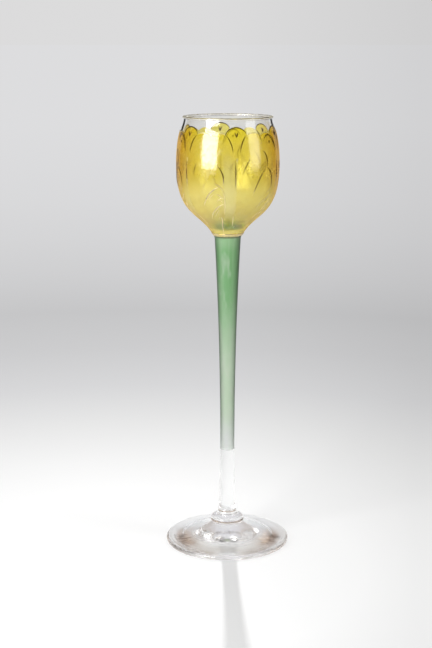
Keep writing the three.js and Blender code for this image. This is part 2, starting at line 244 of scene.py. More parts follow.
# Each lamp: its name, azimuth and elevation in degrees, distance, width and height in metres, power in
# watts, and whether glass and gold mirror it.
LAMPS = (
    ("left_softbox", -42.5, 13, 1.0, (0.64, 0.65), 10.5, True),
    ("right_softbox", 62, 13, 1.0, (0.45, 0.65), 2.2, True),
    ("right_fill", 75, 15, 1.4, (0.5, 0.5), 4.8, False),
    ("back_lamp", 181.4, 43.5, 1.6, (0.035, 0.035), 12.6, False),
)
LAMP_TARGET = Vector((0, 0, 0.17))
BOUNCES = {
    "transparent_max_bounces": 32, "max_bounces": 24, "glossy_bounces": 16, "transmission_bounces": 16,
}


# Sizes and colours that a user would change

def length(name, description, default):
    return FloatProperty(name=name, description=description, default=default, unit="LENGTH", precision=5)


def angle(name, description, degrees):
    return FloatProperty(
        name=name, description=description, default=math.radians(degrees), subtype="ANGLE"
    )


def colour(name, description, default):
    return FloatVectorProperty(
        name=name, description=description, default=default, subtype="COLOR", size=3, min=0, max=1
    )


def fraction(name, description, default):
    return FloatProperty(name=name, description=description, default=default, min=0, max=1)


class FootSizes(bpy.types.PropertyGroup):
    radius: length("Radius", "Outside radius of the foot", 0.0282)
    edge: length("Edge", "Thickness of the rounded edge", 0.0022)
    height: length("Height", "Height of the dome", MERESE_LEVEL)
    hollow: length("Hollow", "Height of the shallow hollow underneath", 0.0017)
    rest_radius: length("Rest radius", "Outside radius of the flat ring it stands on", 0.0266)
    rest_width: length("Rest width", "Width of the flat ring it stands on", 0.0060)
    hollow_flat: fraction("Hollow flat share", "Share of the hollow that stays flat", 0.82)
    edge_slope: angle("Edge slope", "Slope of the dome where it leaves the edge", 8)
    edge_pull: length("Edge pull", "How far the dome keeps the slope of the edge", 0.008)
    seat_slope: angle("Seat slope", "Slope of the dome where it meets the merese", 38)
    seat_pull: length("Seat pull", "How far the dome keeps the slope of the seat", 0.006)


class StemSizes(bpy.types.PropertyGroup):
    merese_radius: length("Merese radius", "Outside radius of the merese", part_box("merese")[1].x)
    merese_bulge: length("Merese bulge", "Height at which the merese is widest", 0.0016)
    merese_seat: length("Merese seat", "Radius of the merese on the foot", 0.0064)
    foot_radius: length("Foot end", "Radius of the stem on the merese", 0.0049)
    bell_height: length("Bell", "Height of the bell at the foot end", 0.005)
    clear_radius: length("Clear part", "Radius just above the bell", 0.00365)
    waist_radius: length("Waist", "Radius where the green enamel starts", 0.00305)
    shoulder_radius: length("Shoulder", "Radius just under the bowl", 0.0056)
    flare_height: length("Flare", "Height of the flare under the bowl", 0.0024)
    joint_radius: length("Joint", "Radius where the stem meets the bowl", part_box("stem")[1].x)
    green_start: length(
        "Green start", "Height above the table at which the enamel starts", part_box("stem_green_enamel")[0].z
    )
    green_thickness: length("Green thickness", "Thickness of the green enamel", 0.0002)
    green_clearance: length("Green clearance", "Gap between glass and green enamel", 0.00002)


class BowlSizes(bpy.types.PropertyGroup):
    radius: length("Radius", "Outside radius at the belly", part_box("bowl")[1].x)
    belly_height: length("Belly", "Height of the belly above the joint", 0.0305)
    wall: length("Wall", "Thickness of the glass", 0.001)
    floor_height: length("Floor", "Height of the inside of the bowl above the joint", 0.0036)
    start_slope: angle("Start slope", "Slope of the outside where it leaves the joint", 58)
    start_pull: length("Start pull", "How far the outside keeps that slope", 0.012)
    belly_pull_down: length("Belly pull down", "How far the outside stays upright below the belly", 0.022)
    belly_pull_up: length("Belly pull up", "How far the outside stays upright above the belly", 0.014)
    lip_radius: length("Lip", "Outside radius of the lip", 0.0199)
    bead_radius: length("Bead", "Radius of the rounded lip", 0.0005)
    neck_radius: length("Neck", "Outside radius just under the lip", 0.01935)
    neck_pull: length("Neck pull", "How far the outside keeps the lean of the neck", 0.004)
    neck_lean: angle("Neck lean", "Lean of the wall just under the lip", 8)
    gilding: length("Gilding", "Thickness of the gold on the lip", 0.00012)
    ring_thickness: length("Ring", "Thickness of the gilt ring on the joint", 0.0003)
    ring_bulge: length("Ring bulge", "How far the ring bulges at its middle", 0.00006)


class PetalSizes(bpy.types.PropertyGroup):
    front_bearing: angle("Front petal", "Bearing of the inner petal at the front", 9.6)
    thickness: length("Thickness", "Thickness of the enamel", 0.0001)
    clearance: length("Clearance", "Gap between glass and enamel", 0.00003)
    gap: length("Gap", "Gap between two petals", 0.00003)
    clear_band: length("Clear band", "Bare glass above the inner petals", 0.0040)
    outer_drop: length("Outer drop", "How far the outer petals stay below the inner ones", 0.0024)
    lobe_height: length("Lobe", "Height of the lobes on top of an outer petal", 0.0009)
    v_depth: length("V depth", "Depth of the V between two outer petals", 0.0125)
    tip_half_angle: angle("Tip half angle", "Half the width of an inner petal at its shoulders", 12.5)
    tip_curve: FloatProperty(name="Tip curve", description="How late the V opens", default=1.6, min=1)
    point_width: length("Point width", "Width of an inner petal at its lower end", 0.001)
    notch_width: length("Notch width", "Width of the notch between two lobes", 0.0009)
    line_width: length("Line width", "Width of a gold contour line", 0.00050)
    line_height: length("Line height", "How far a contour line stands proud", 0.00014)


class GlassColours(bpy.types.PropertyGroup):
    clear: colour("Clear glass", "Tint of the glass", (0.985, 0.99, 0.987))
    # The glass edge is painted shade on the bare wall where it is seen edge on.
    edge: colour("Glass edge", "Dark line at the edge of the bare wall", (0.15, 0.16, 0.17))
    seat: colour("Seat line", "Line under the bulge of the merese", (0.50, 0.39, 0.30))
    yellow: colour("Yellow enamel", "Body of the petals near their tips", (0.97, 0.77, 0.045))
    tips: colour("Petal tips", "Body at the tips of the petals", (1.0, 0.81, 0.008))
    straw: colour("Straw enamel", "Body of the petals at their middle", (0.93, 0.79, 0.12))
    ochre: colour("Ochre enamel", "Body of the petals next to the ring", (0.68, 0.53, 0.05))
    # The green base is a painted refraction of the stem's green seen through the bowl's bottom.
    painted_base_green: colour("Green base", "Where the stem's green shows through the bottom", (0.36, 0.48, 0.10))
    peach: colour("Peach enamel", "Body low on the petals where seen edge on", (0.83, 0.58, 0.11))
    amber: colour("Amber enamel", "Body where the enamel is seen edge on", (0.74, 0.38, 0.002))
    haze: colour("Haze", "Pale grey band between two petals", (0.84, 0.78, 0.30))
    green: colour("Green enamel", "Body of the stem under the bowl", (0.24, 0.56, 0.22))
    mid_green: colour("Mid green enamel", "Body of the stem at its middle", (0.69, 0.88, 0.64))
    pale_green: colour("Pale green enamel", "Body of the stem at its lower end", (0.95, 0.98, 0.97))
    lip_gold: colour("Lip gold", "Colour of the worn gold on the lip", (0.98, 0.94, 0.84))
    gold: colour("Gold", "Colour of the gold ring", (0.82, 0.62, 0.22))
    pale_line_gold: colour("Pale line gold", "Colour of the lines along the outer tops", (0.98, 0.88, 0.42))
    # The dark brown of the contour lines is a painted reflection of the dim room.
    line_gold: colour("Line gold", "Colour of the contour lines", (0.10, 0.055, 0.012))


class StageSettings(bpy.types.PropertyGroup):
    camera_distance: length("Camera distance", "From the axis of the glass, along the floor", 0.58676)
    camera_height: length("Camera height", "Above the floor", 0.2285)
    camera_side: length("Camera side", "Offset of the camera to the right", -0.00519)
    camera_tilt: angle("Camera tilt", "How far the camera looks down", 12.155)
    focal_pixels: FloatProperty(
        name="Focal length", description="In pixels of the picture's height", default=1332.5
    )
    even_light: fraction("Even light", "Strength of the light from all round", 0.27)
    # The fall to the right is painted shade on the floor and backdrop.
    right_fall: fraction("Fall to the right", "How much dimmer the right of the picture is", 0.11)
    far: colour("Backdrop", "Far floor and backdrop", (0.715, 0.712, 0.715))
    room: colour("Room", "What glass and gold mirror beside and above the backdrop", (0.10, 0.085, 0.07))
    flag: colour("Flags", "What light bent sideways in the glass shows", (0.36, 0.29, 0.24))
    ceiling: colour("Ceiling", "What light bent upwards in the glass shows", (0.76, 0.75, 0.78))
    wall: colour("Walls", "What light bent sideways and upwards in the glass shows", (0.62, 0.57, 0.55))


# Profiles

def spot(radius, height):
    return Vector((radius, height))


def pulled(start, distance, slope):
    """A point moved off by a distance, at an angle up from straight outwards."""
    return start + distance * Vector((math.cos(slope), math.sin(slope)))


def curve(start, start_handle, end_handle, end, steps=CURVE_STEPS):
    """Points on a cubic curve, both ends included."""
    return [Vector(p[:2]) for p in interpolate_bezier(start, start_handle, end_handle, end, steps + 1)]


def arc(centre, radius, start, stop, steps=ARC_STEPS):
    """Points on a circular arc, both ends included."""
    return [pulled(centre, radius, start + (stop - start) * i / steps) for i in range(steps + 1)]


def raised(profile, level):
    return [p + Vector((0, level)) for p in profile]


def foot_profile(sizes):
    edge_centre = spot(sizes.radius - sizes.edge / 2, sizes.edge / 2)
    edge_top = spot(edge_centre.x, sizes.edge)
    seat = spot(bpy.context.scene.stem_sizes.merese_seat, sizes.height)
    rest_inner = spot(sizes.rest_radius - sizes.rest_width, 0)
    hollow_corner = spot(rest_inner.x * sizes.hollow_flat, sizes.hollow)
    hollow_top = spot(0, sizes.hollow)
    hollow = curve(
        hollow_top,
        hollow_top.lerp(hollow_corner, CORNER_PULL),
        rest_inner.lerp(hollow_corner, CORNER_PULL),
        rest_inner,
    )
    dome = curve(
        edge_top,
        pulled(edge_top, sizes.edge_pull, math.pi - sizes.edge_slope),
        pulled(seat, sizes.seat_pull, -sizes.seat_slope),
        seat,
    )
    edge = arc(edge_centre, sizes.edge / 2, *EDGE_ARC)
    return [*hollow, spot(sizes.rest_radius, 0), *edge, *dome[1:], spot(0, sizes.height)]


def merese_profile(sizes):
    """A quarter round out from the seat, then another back in to the stem."""
    height = STEM_LEVEL - MERESE_LEVEL
    lower = []
    upper = []
    for i in range(ARC_STEPS + 1):
        turn = math.pi / 2 * i / ARC_STEPS
        lower.append(spot(
            sizes.merese_seat + (sizes.merese_radius - sizes.merese_seat) * math.sin(turn),
            sizes.merese_bulge * (1 - math.cos(turn)),
        ))
        upper.append(spot(
            sizes.foot_radius + (sizes.merese_radius - sizes.foot_radius) * math.cos(turn),
            sizes.merese_bulge + (height - sizes.merese_bulge) * math.sin(turn),
        ))
    return raised([spot(0, 0), *lower[:-1], *upper, spot(0, height)], MERESE_LEVEL)


def stem_radius(sizes, level):
    """Outside radius of the stem's glass at a level above the table."""
    height = level - STEM_LEVEL
    if height < sizes.bell_height:
        fall = 1 - height / sizes.bell_height
        return sizes.clear_radius + (sizes.foot_radius - sizes.clear_radius) * fall ** 2
    if level < sizes.green_start:
        climb = (height - sizes.bell_height) / (sizes.green_start - STEM_LEVEL - sizes.bell_height)
        return sizes.clear_radius + (sizes.waist_radius - sizes.clear_radius) * climb
    flare_start = BOWL_LEVEL - sizes.flare_height
    swell = (min(level, flare_start) - sizes.green_start) / (flare_start - sizes.green_start)
    body = sizes.waist_radius + (sizes.shoulder_radius - sizes.waist_radius) * swell ** STEM_CURVE
    flare = max(0, level - flare_start) / sizes.flare_height
    return body + (sizes.joint_radius - sizes.shoulder_radius) * flare ** 2


def levels_between(low, high, steps):
    return [low + (high - low) * i / steps for i in range(steps + 1)]


def green_levels(sizes, end):
    flare_start = BOWL_LEVEL - sizes.flare_height
    body = levels_between(sizes.green_start, flare_start, STEM_STEPS)
    return body + levels_between(flare_start, end, FLARE_STEPS)[1:]


def stem_profile(sizes):
    bell = levels_between(STEM_LEVEL, STEM_LEVEL + sizes.bell_height, BELL_STEPS)
    levels = bell + green_levels(sizes, BOWL_LEVEL)
    side = [spot(stem_radius(sizes, level), level) for level in levels]
    return [spot(0, STEM_LEVEL), *side, spot(0, BOWL_LEVEL)]


def green_profile(sizes):
    """A closed loop: up the outside of the sleeve and down its inside, with a thin rounded lower end."""
    end = BOWL_LEVEL - RING_HALF_HEIGHT
    inside = [
        spot(stem_radius(sizes, level) + sizes.green_clearance, level)
        for level in green_levels(sizes, end)
    ]
    outside = [p + Vector((sizes.green_thickness - sizes.green_clearance, 0)) for p in inside]
    feather = inside[0].lerp(outside[0], 0.5) - Vector((0, sizes.green_thickness / 2))
    return [feather, *outside, *reversed(inside), feather]


def bowl_curves(sizes, inset):
    """The outside of the bowl, or a line inside it: it swells to the belly, then closes in to the neck."""
    joint = spot(sizes_of("stem").joint_radius, 0)
    belly = spot(sizes.radius - inset, sizes.belly_height)
    neck = spot(sizes.neck_radius - inset, bead_centre(sizes).y - sizes.bead_radius)
    swell = (
        joint,
        pulled(joint, sizes.start_pull, sizes.start_slope),
        pulled(belly, sizes.belly_pull_down, -math.pi / 2),
        belly,
    )
    close = (
        belly,
        pulled(belly, sizes.belly_pull_up, math.pi / 2),
        pulled(neck, sizes.neck_pull, sizes.neck_lean - math.pi / 2),
        neck,
    )
    return swell, close


def bead_centre(sizes):
    inset = sizes.gilding + sizes.bead_radius
    return spot(sizes.lip_radius - inset, GLASS_HEIGHT - BOWL_LEVEL - inset)


def bowl_outside(sizes):
    swell, close = bowl_curves(sizes, 0)
    return curve(*swell) + curve(*close)[1:]


def lip_bead(sizes, radius):
    return arc(bead_centre(sizes), radius, *BEAD_ARC)


def bowl_inside(sizes):
    """From the neck down to the middle of the floor, one wall inside the outside."""
    swell, close = bowl_curves(sizes, sizes.wall)
    floor_edge = spot(sizes_of("stem").joint_radius + sizes.wall, sizes.floor_height)
    cup = curve(
        swell[3],
        pulled(swell[2], sizes.wall, math.pi / 2),
        pulled(floor_edge, sizes.wall, 0),
        spot(0, sizes.floor_height),
    )
    return curve(*close)[::-1][:-1] + cup


def bowl_profile(sizes):
    profile = [spot(0, 0), *bowl_outside(sizes), *lip_bead(sizes, sizes.bead_radius), *bowl_inside(sizes)]
    return raised(profile, BOWL_LEVEL)


def lip_gilding_profile(sizes):
    """A thin closed cap over the upper half of the lip's bead."""
    centre = bead_centre(sizes)
    under = arc(centre, sizes.bead_radius + GILDING_CLEARANCE, 0, math.pi)
    over = arc(centre, sizes.bead_radius + sizes.gilding, 0, math.pi)
    return raised([*over, *reversed(under), over[0]], BOWL_LEVEL)


def joint_ring_profile(sizes):
    """A rounded band over the joint, in line with the stem below and the bowl above."""
    stem = sizes_of("stem")
    outside = bowl_outside(sizes)
    high = spot(radius_at(outside, RING_HALF_HEIGHT), RING_HALF_HEIGHT)
    low = spot(stem_radius(stem, BOWL_LEVEL - RING_HALF_HEIGHT), -RING_HALF_HEIGHT)
    middle = spot(stem.joint_radius, 0)
    proud = Vector((sizes.ring_thickness + sizes.ring_bulge, 0))
    edge = Vector((stem.green_thickness, 0))
    full = proud * RING_FULLNESS
    face = curve(low + edge, low + full, high + full, high + edge, ARC_STEPS)
    clear = Vector((GILDING_CLEARANCE, 0))
    return raised([*face, high + clear, middle + clear, low + clear, face[0]], BOWL_LEVEL)


def radius_at(profile, height):
    """Radius of a rising profile at a height."""
    return float(np.interp(height, [p.y for p in profile], [p.x for p in profile]))


def sizes_of(piece):
    return getattr(bpy.context.scene, piece + "_sizes")


# Making meshes

def turned(profile):
    """Turns a profile once round the axis, with bmesh's spin."""
    solid = bmesh.new()
    spots = [solid.verts.new((p.x, 0, p.y)) for p in profile]
    edges = [solid.edges.new(pair) for pair in zip(spots, spots[1:])]
    bmesh.ops.spin(
        solid, geom=spots + edges, cent=(0, 0, 0), axis=(0, 0, 1),
        angle=math.tau, steps=TURN_STEPS, use_merge=True,
    )
    return solid


def cleaned(solid):
    bmesh.ops.remove_doubles(solid, verts=solid.verts[:], dist=DOUBLES)
    bmesh.ops.recalc_face_normals(solid, faces=solid.faces[:])
    return solid


def mark_seam(solid, level, material=1):
    """Gives the flat end at a level the material of the fused joint to the next piece."""
    for face in solid.faces:
        if all(abs(vert.co.z - level) < DOUBLES for vert in face.verts):
            face.material_index = material


def outwards(face):
    """From the axis to the middle of a face, level."""
    return Vector((*face.calc_center_median().xy, 0))


def mark_inside(vessel, material):
    """Gives the faces that look towards the axis a material of their own."""
    for face in vessel.faces:
        if face.normal.dot(outwards(face)) < 0:
            face.material_index = material


def mark_back(film):
    """Gives all but the outer faces of a film the second material, which is clear."""
    for face in film.faces:
        if face.normal.dot(outwards(face).normalized()) < FILM_OUTSIDE:
            face.material_index = 1


def put_in_order(solid):
    """Sorts the vertices and faces by where they are, so that each run numbers them alike."""
    spots = {vert: tuple(vert.co) for vert in solid.verts}
    middles = {face: tuple(face.calc_center_median()) for face in solid.faces}
    for parts, places in ((solid.verts, spots), (solid.faces, middles)):
        ranks = {part: i for i, part in enumerate(sorted(parts, key=places.get))}
        parts.sort(key=ranks.get)
        parts.index_update()


def place(solid, name, slot, nodes, *materials):
    """Makes the finished piece, which rides on the one body and stands for its CAD nodes."""
    put_in_order(solid)
    mesh = bpy.data.meshes.new(name)
    solid.to_mesh(mesh)
    solid.free()
    for material in materials:
        mesh.materials.append(material)
    mesh.shade_smooth()
    mesh.set_sharp_from_angle(angle=SHARP_ANGLE)
    piece = bpy.data.objects.new(name, mesh)
    bpy.context.scene.collection.objects.link(piece)
    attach(piece, "root")
    if nodes:
        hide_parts(*nodes)


def on_bowl(outside, bearing, height, proud):
    """A point on the outside of the bowl, or a little off it."""
    radius = radius_at(outside, height) + proud
    return Vector((radius * math.sin(bearing), -radius * math.cos(bearing), BOWL_LEVEL + height))


# Petals

class PetalShape:
    """Where the edges of the petals run, as bearings from a petal's middle at heights above the joint."""

    def __init__(self):
        self.sizes = sizes_of("petal")
        self.outside = bowl_outside(sizes_of("bowl"))
        bowl_height = GLASS_HEIGHT - BOWL_LEVEL
        self.inner_top = bowl_height - self.sizes.clear_band
        self.outer_top = self.inner_top - self.sizes.outer_drop
        self.shoulder = self.outer_top - self.sizes.lobe_height
        self.meeting = self.shoulder - self.sizes.v_depth
        self.base = RING_HALF_HEIGHT + self.sizes.clearance
        self.notch = self.as_angle(self.sizes.notch_width / 2, self.shoulder)
        self.corner = PETAL_PITCH / 2 - self.opening(self.shoulder) - self.half_gap(self.shoulder)
        point_angle = self.as_angle(self.sizes.point_width / 2, self.meeting)
        rise = (point_angle / self.sizes.tip_half_angle) ** (1 / self.sizes.tip_curve)
        self.lowest = self.meeting + self.sizes.v_depth * rise

    def as_angle(self, distance, height):
        return distance / radius_at(self.outside, height)

    def half_gap(self, height):
        return self.as_angle(self.sizes.gap / 2, height)

    def opening(self, height):
        """Half the angle between two outer petals: nothing below the meeting point, a V above it."""
        rise = max(0, (height - self.meeting) / self.sizes.v_depth)
        return self.sizes.tip_half_angle * rise ** self.sizes.tip_curve

    def outer(self, side, rise):
        """A spot on an outer petal: side runs from -1 to 1 across it, and rise from 0 to 1 up it."""
        share = (abs(side) * self.corner - self.notch) / (self.corner - self.notch)
        if share > 0:
            lobe = self.sizes.lobe_height * math.sqrt(math.sin(math.pi * min(1, share)))
        else:
            lobe = 0
        height = self.base + rise * (self.shoulder + lobe - self.base)
        below = min(height, self.shoulder)
        half = PETAL_PITCH / 2 - self.opening(below) - self.half_gap(below)
        return side * half, height

    def inner(self, side, rise):
        """A spot on an inner petal, whose tip is half an ellipse above its shoulders."""
        tip = (self.inner_top - self.shoulder) * math.sqrt(1 - side ** 2)
        height = self.lowest + rise * (self.shoulder + tip - self.lowest)
        below = min(height, self.shoulder)
        return side * (self.opening(below) - self.half_gap(below)), height


def petal_sheet(shape, outline, bearing, columns, rows):
    """A thin closed shell of enamel that follows the bowl, shaped from a grid."""
    sheet = bmesh.new()
    bmesh.ops.create_grid(sheet, x_segments=columns, y_segments=rows, size=1)
    for vert in sheet.verts:
        turn, height = outline(vert.co.x, (vert.co.y + 1) / 2)
        vert.co = on_bowl(shape.outside, bearing + turn, height, shape.sizes.clearance)
    cleaned(sheet)
    if sum(face.normal.dot(outwards(face)) for face in sheet.faces) > 0:
        bmesh.ops.reverse_faces(sheet, faces=sheet.faces[:])
    bmesh.ops.solidify(sheet, geom=sheet.faces[:], thickness=shape.sizes.thickness)
    mark_back(sheet)
    return sheet


def stroke_points(shape, bearing, stroke):
    """Points of one stroke on the enamel, each with its share of the full width."""
    width, *handles = stroke
    proud = shape.sizes.clearance + shape.sizes.thickness
    proud += shape.sizes.line_height - shape.sizes.line_width / 2
    points = []
    for i, spot_on_petal in enumerate(curve(*(Vector(p) for p in handles), STROKE_STEPS)):
        turn = bearing + math.radians(spot_on_petal.x)
        place_on_bowl = on_bowl(shape.outside, turn, spot_on_petal.y * MM, proud)
        swell = math.sin(math.pi * i / STROKE_STEPS)
        points.append((place_on_bowl, width * (STROKE_END_WIDTH + (1 - STROKE_END_WIDTH) * swell)))
    return points


def drawn_lines(name, shape, bearing, strokes):
    """Round strokes, half sunk in the enamel, from curves that are made one mesh."""
    pen = bpy.data.curves.new(name, "CURVE")
    pen.dimensions = "3D"
    pen.bevel_depth = shape.sizes.line_width / 2
    pen.bevel_resolution = 2
    pen.use_fill_caps = True
    for stroke in strokes:
        points = stroke_points(shape, bearing, stroke)
        spline = pen.splines.new("POLY")
        spline.points.add(len(points) - 1)
        for target, (co, width) in zip(spline.points, points):
            target.co = (*co, 1)
            target.radius = width
    holder = bpy.data.objects.new(name, pen)
    mesh = bpy.data.meshes.new_from_object(holder)
    bpy.data.objects.remove(holder)
    bpy.data.curves.remove(pen)
    solid = bmesh.new()
    solid.from_mesh(mesh)
    bpy.data.meshes.remove(mesh)
    return cleaned(solid)


# Materials

def node(tree, kind, inputs=None, **settings):
    """A new shader node, with its settings, and its inputs set or linked."""
    made = tree.nodes.new(kind)
    for key, value in settings.items():
        setattr(made, key, value)
    for key, value in (inputs or {}).items():
        if isinstance(value, bpy.types.NodeSocket):
            tree.links.new(value, made.inputs[key])
        elif isinstance(value, tuple) and len(value) == 3 and made.inputs[key].type == "RGBA":
            made.inputs[key].default_value = (*value, 1)
        else:
            made.inputs[key].default_value = value
    return made


def maths(tree, operation, first, second=0.0):
    return node(tree, "ShaderNodeMath", {0: first, 1: second}, operation=operation).outputs[0]


def vector_maths(tree, operation, first, second=(0, 0, 0)):
    return node(tree, "ShaderNodeVectorMath", {0: first, 1: second}, operation=operation).outputs[0]


def length_of(tree, vector):
    return node(tree, "ShaderNodeVectorMath", {0: vector}, operation="LENGTH").outputs["Value"]


def along(tree, vector, axis):
    return node(tree, "ShaderNodeSeparateXYZ", {0: vector}).outputs[axis]


def product(tree, *values):
    total = values[0]
    for value in values[1:]:
        total = maths(tree, "MULTIPLY", total, value)
    return total


def object_coordinates(tree):
    return node(tree, "ShaderNodeTexCoord").outputs["Object"]


def stretched(tree, coordinates, scale):
    return node(tree, "ShaderNodeMapping", {"Vector": coordinates, "Scale": scale}).outputs[0]


def noise(tree, coordinates, scale, detail=3, roughness=0.5):
    return node(tree, "ShaderNodeTexNoise", {
        "Vector": coordinates, "Scale": scale, "Detail": detail, "Roughness": roughness,
    }).outputs["Fac"]


def ranged(tree, value, start, stop, low=0.0, high=1.0, smooth=True):
    """A value mapped from start and stop to low and high, and kept between them."""
    return node(tree, "ShaderNodeMapRange", {
        "Value": value, "From Min": start, "From Max": stop, "To Min": low, "To Max": high,
    }, interpolation_type="SMOOTHSTEP" if smooth else "LINEAR").outputs[0]


def up_bowl(tree, level, start, stop, low=0.0, high=1.0):
    """A fade between two heights above the joint, in millimetres."""
    return ranged(tree, level, BOWL_LEVEL + start * MM, BOWL_LEVEL + stop * MM, low, high)


def wandering(tree, level, pattern, reach):
    """A level that a pattern moves up and down, so that a fade across it has no straight edge."""
    shift = maths(tree, "MULTIPLY", maths(tree, "SUBTRACT", pattern, 0.5), reach)
    return maths(tree, "ADD", level, shift)


def facing(tree):
    """0 where a surface is seen head on, and 1 where it is seen edge on."""
    return node(tree, "ShaderNodeLayerWeight", {"Blend": 0.5}).outputs["Facing"]


def mirror_share(tree, head_on, edge_on):
    """How much a surface mirrors: a little head on, and more edge on."""
    grazing = maths(tree, "POWER", facing(tree), MIRROR_POWER)
    return ranged(tree, grazing, 0, 1, head_on, edge_on, smooth=False)


def bump(tree, height, strength, distance):
    return node(tree, "ShaderNodeBump", {
        "Height": height, "Strength": strength, "Distance": distance,
    }).outputs[0]


def shade(name):
    """One of the colours that the user can change."""
    return tuple(getattr(bpy.context.scene.glass_colours, name))


def blended(tree, share, first, second):
    """A colour between two others."""
    return node(tree, "ShaderNodeMix", {0: share, 6: first, 7: second}, data_type="RGBA").outputs[2]


def layered(tree, base, *layers):
    """A colour with others laid over it in turn. Each layer is a share and a colour."""
    for share, tint in layers:
        base = blended(tree, share, base, tint)
    return base


def shader(tree, kind, inputs):
    return node(tree, "ShaderNodeBsdf" + kind, inputs).outputs[0]


def mixed(tree, share, first, second):
    """A shader between two others."""
    return node(tree, "ShaderNodeMixShader", {0: share, 1: first, 2: second}).outputs[0]


def new_material(name):
    material = bpy.data.materials.new(name)
    material.use_nodes = True
    material.node_tree.nodes.clear()
    return material, material.node_tree


def finish_material(tree, surface):
    node(tree, "ShaderNodeOutputMaterial", {"Surface": surface})


def made_once(build):
    """Keeps a finish, so that pieces of the same finish share one material."""
    kept = {}

    def wrapped(*details):
        if details not in kept:
            kept[details] = build(*details)
        return kept[details]
    return wrapped


# Clear glass

def let_lamps_through(tree, surface, shadow_tint):
    """Light from the lamps and from matt surfaces passes the glass without bending."""
    path = node(tree, "ShaderNodeLightPath")
    clear = shader(tree, "Transparent", {"Color": shadow_tint})
    matt = mixed(tree, path.outputs["Is Diffuse Ray"], surface, clear)
    return mixed(tree, path.outputs["Is Shadow Ray"], matt, clear)


def even_shadow(share):
    return lambda tree, coordinates: (share, share, share)


def foot_measures(tree, coordinates):
    """A place on the foot without its height, and what the fades on the foot go by."""
    flat = vector_maths(tree, "MULTIPLY", coordinates, LEVEL)
    return {
        "flat": flat,
        "radius": length_of(tree, flat),
        "sideways": maths(tree, "ABSOLUTE", along(tree, flat, "X")),
        "back": along(tree, flat, "Y"),
    }


def foot_zone(tree, measures, fades, *patterns):
    """Where several fades on the foot overlap, broken up by patterns."""
    shares = [ranged(tree, measures[name], *limits) for name, *limits in fades]
    return product(tree, *shares, *patterns)


def turning_rings(tree, coordinates):
    """Fine ripples round the axis, as a turned foot has."""
    flat = vector_maths(tree, "MULTIPLY", coordinates, LEVEL)
    slow = stretched(tree, vector_maths(tree, "NORMALIZE", flat), RING_WANDER)
    outwards = node(tree, "ShaderNodeCombineXYZ", {"Z": length_of(tree, flat)}).outputs[0]
    place = vector_maths(tree, "ADD", slow, outwards)
    return maths(tree, "MULTIPLY", noise(tree, place, 650, roughness=0.6), 1.3)


def painted_foot_shadow(tree, coordinates):
    """Painted shadow: the light that passes the foot is tinted with cool sides, mottle and brownish bands and
    patches, standing in for the light that the dome gathers and bends.
    """
    place = foot_measures(tree, coordinates)
    streaks = noise(tree, stretched(tree, place["flat"], (0.5, 1.6, 1)), 260, roughness=0.6)
    grain = noise(tree, stretched(tree, place["flat"], (1, 2, 1)), 620, roughness=0.6)
    rings = turning_rings(tree, coordinates)
    cool_sides = foot_zone(tree, place, FOOT_COOL_FADES)
    mottle = foot_zone(tree, place, FOOT_MOTTLE_FADES, ranged(tree, grain, 0.46, 0.60, 0, 0.9))
    bands = foot_zone(tree, place, FOOT_BAND_FADES, ranged(tree, rings, 0.52, 0.75, 0.1, 0.9))
    patches = foot_zone(tree, place, FOOT_PATCH_FADES, ranged(tree, streaks, 0.34, 0.60, 0.45, 1.0))
    return layered(
        tree, FOOT_SHADE, (cool_sides, FOOT_COOL_SHADE), (mottle, FOOT_MOTTLE_SHADE),
        (bands, FOOT_BAND_SHADE), (patches, FOOT_PATCH_SHADE),
    )


def even_ripple(tree, coordinates):
    return maths(tree, "MULTIPLY", noise(tree, stretched(tree, coordinates, (1, 1, 0.35)), 90, 2), 0.4)


def painted_wall_edge(tree, coordinates):
    """The thin bare wall below the lip, darkened where it is seen nearly edge on: painted shade for the dark
    room that the wall bends and mirrors into view.
    """
    level = along(tree, coordinates, "Z")
    share = product(
        tree,
        ranged(tree, facing(tree), 0.66, 0.72),
        ranged(tree, facing(tree), 0.86, 0.79),
        ranged(tree, level, BARE_LEVEL, BARE_LEVEL + 2 * MM),
        ranged(tree, level, GLASS_HEIGHT - 0.8 * MM, GLASS_HEIGHT - 1.2 * MM),
    )
    return share, shade("edge")


def seat_line(tree, coordinates):
    """The brown line under the bulge of the merese."""
    above_line = maths(tree, "SUBTRACT", along(tree, coordinates, "Z"), MERESE_LEVEL + 1.5 * MM)
    share = ranged(tree, maths(tree, "ABSOLUTE", above_line), 0.5 * MM, 0.2 * MM, 0, 0.85)
    return share, shade("seat")


def seat_line_and_painted_streaks(tree, coordinates):
    """The merese's line, and brown streaks that only show to a look across the foot: the streaks are a
    painted reflection of warm surroundings that the dome bends into view.
    """
    line_share, tint = seat_line(tree, coordinates)
    place = foot_measures(tree, coordinates)
    pattern = noise(tree, stretched(tree, place["flat"], (0.6, 1.8, 1)), 420, roughness=0.6)
    streaks = foot_zone(
        tree, place, FOOT_PAINTED_STREAK_FADES,
        ranged(tree, facing(tree), 0.42, 0.58),
        ranged(tree, pattern, 0.38, 0.60, 0.1, 0.58),
    )
    return maths(tree, "MAXIMUM", line_share, streaks), tint


def bowl_rub(tree, coordinates):
    """The bowl is less clear behind the petals than in the bare band above them."""
    return ranged(tree, along(tree, coordinates, "Z"), BARE_LEVEL, BARE_LEVEL + 2 * MM, 0.08, 0)


def polished(tree, coordinates):
    return 0.0


